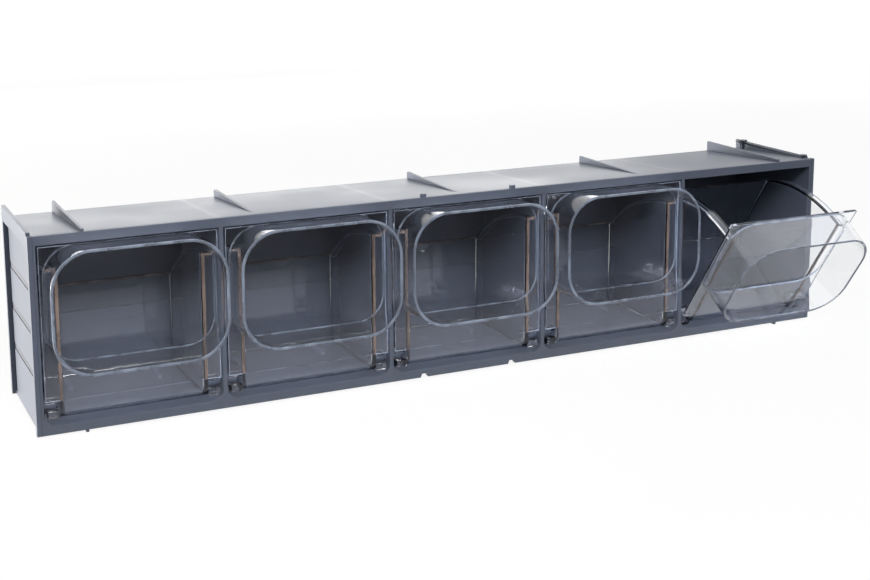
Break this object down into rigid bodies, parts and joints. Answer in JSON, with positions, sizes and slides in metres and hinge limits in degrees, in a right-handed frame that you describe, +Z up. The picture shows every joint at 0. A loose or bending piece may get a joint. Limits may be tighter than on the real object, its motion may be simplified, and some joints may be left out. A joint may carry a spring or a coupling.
{
  "type": "tilt bin cabinet",
  "caption": "Low wide parts cabinet: clear bins side by side in a moulded frame, each tilting forwards on stub pins at its foot and opened by a hood on its front.",
  "frame": {"origin": "middle of the flat back face, halfway up the front face's height", "axes": "+X along the width, to the right as seen from the front; +Y backwards, out of the back face; +Z up"},
  "size_m": [0.6, 0.1768, 0.1324],
  "materials": {
    "frame": "blue-grey moulded plastic, finely textured",
    "bins": "clear polystyrene, polished"
  },
  "bodies": {
    "frame": {"top_front_rail": "frame", "bottom_front_rail": "frame", "roof_panel": "frame", "floor_panel": "frame", "back_panel": "frame", "left_side_panel": "frame", "right_side_panel": "frame", "divider_1": "frame", "divider_2": "frame", "divider_3": "frame", "divider_4": "frame", "bay_corner_webs": "frame", "hinge_pins": "frame", "bin_rests": "frame", "left_tall_rib": "frame", "right_tall_rib": "frame", "low_rib_1": "frame", "low_rib_2": "frame", "low_rib_3": "frame", "left_base_rib": "frame", "right_base_rib": "frame", "left_edge_rail": "frame", "right_bead_rail": "frame", "front_lugs": "frame"},
    "bin_1": {"bin_1_tub": "bins", "bin_1_front_plate": "bins", "bin_1_hood": "bins", "bin_1_hinge_clips": "bins"},
    "bin_2": {"bin_2_tub": "bins", "bin_2_front_plate": "bins", "bin_2_hood": "bins", "bin_2_hinge_clips": "bins"},
    "bin_3": {"bin_3_tub": "bins", "bin_3_front_plate": "bins", "bin_3_hood": "bins", "bin_3_hinge_clips": "bins"},
    "bin_4": {"bin_4_tub": "bins", "bin_4_front_plate": "bins", "bin_4_hood": "bins", "bin_4_hinge_clips": "bins"},
    "bin_5": {"bin_5_tub": "bins", "bin_5_front_plate": "bins", "bin_5_hood": "bins", "bin_5_hinge_clips": "bins"}
  },
  "joints": [
    {"name": "bin_1_tilt", "type": "hinge", "parent": "frame", "child": "bin_1", "pos_m": [-0.23736, -0.086, -0.047], "axis": [1, 0, 0], "range_deg": [0, 34.5]},
    {"name": "bin_2_tilt", "type": "hinge", "parent": "frame", "child": "bin_2", "pos_m": [-0.11868, -0.086, -0.047], "axis": [1, 0, 0], "range_deg": [0, 34.5]},
    {"name": "bin_3_tilt", "type": "hinge", "parent": "frame", "child": "bin_3", "pos_m": [0, -0.086, -0.047], "axis": [1, 0, 0], "range_deg": [0, 34.5]},
    {"name": "bin_4_tilt", "type": "hinge", "parent": "frame", "child": "bin_4", "pos_m": [0.11868, -0.086, -0.047], "axis": [1, 0, 0], "range_deg": [0, 34.5]},
    {"name": "bin_5_tilt", "type": "hinge", "parent": "frame", "child": "bin_5", "pos_m": [0.23736, -0.086, -0.047], "axis": [1, 0, 0], "range_deg": [-34.5, 0]}
  ]
}
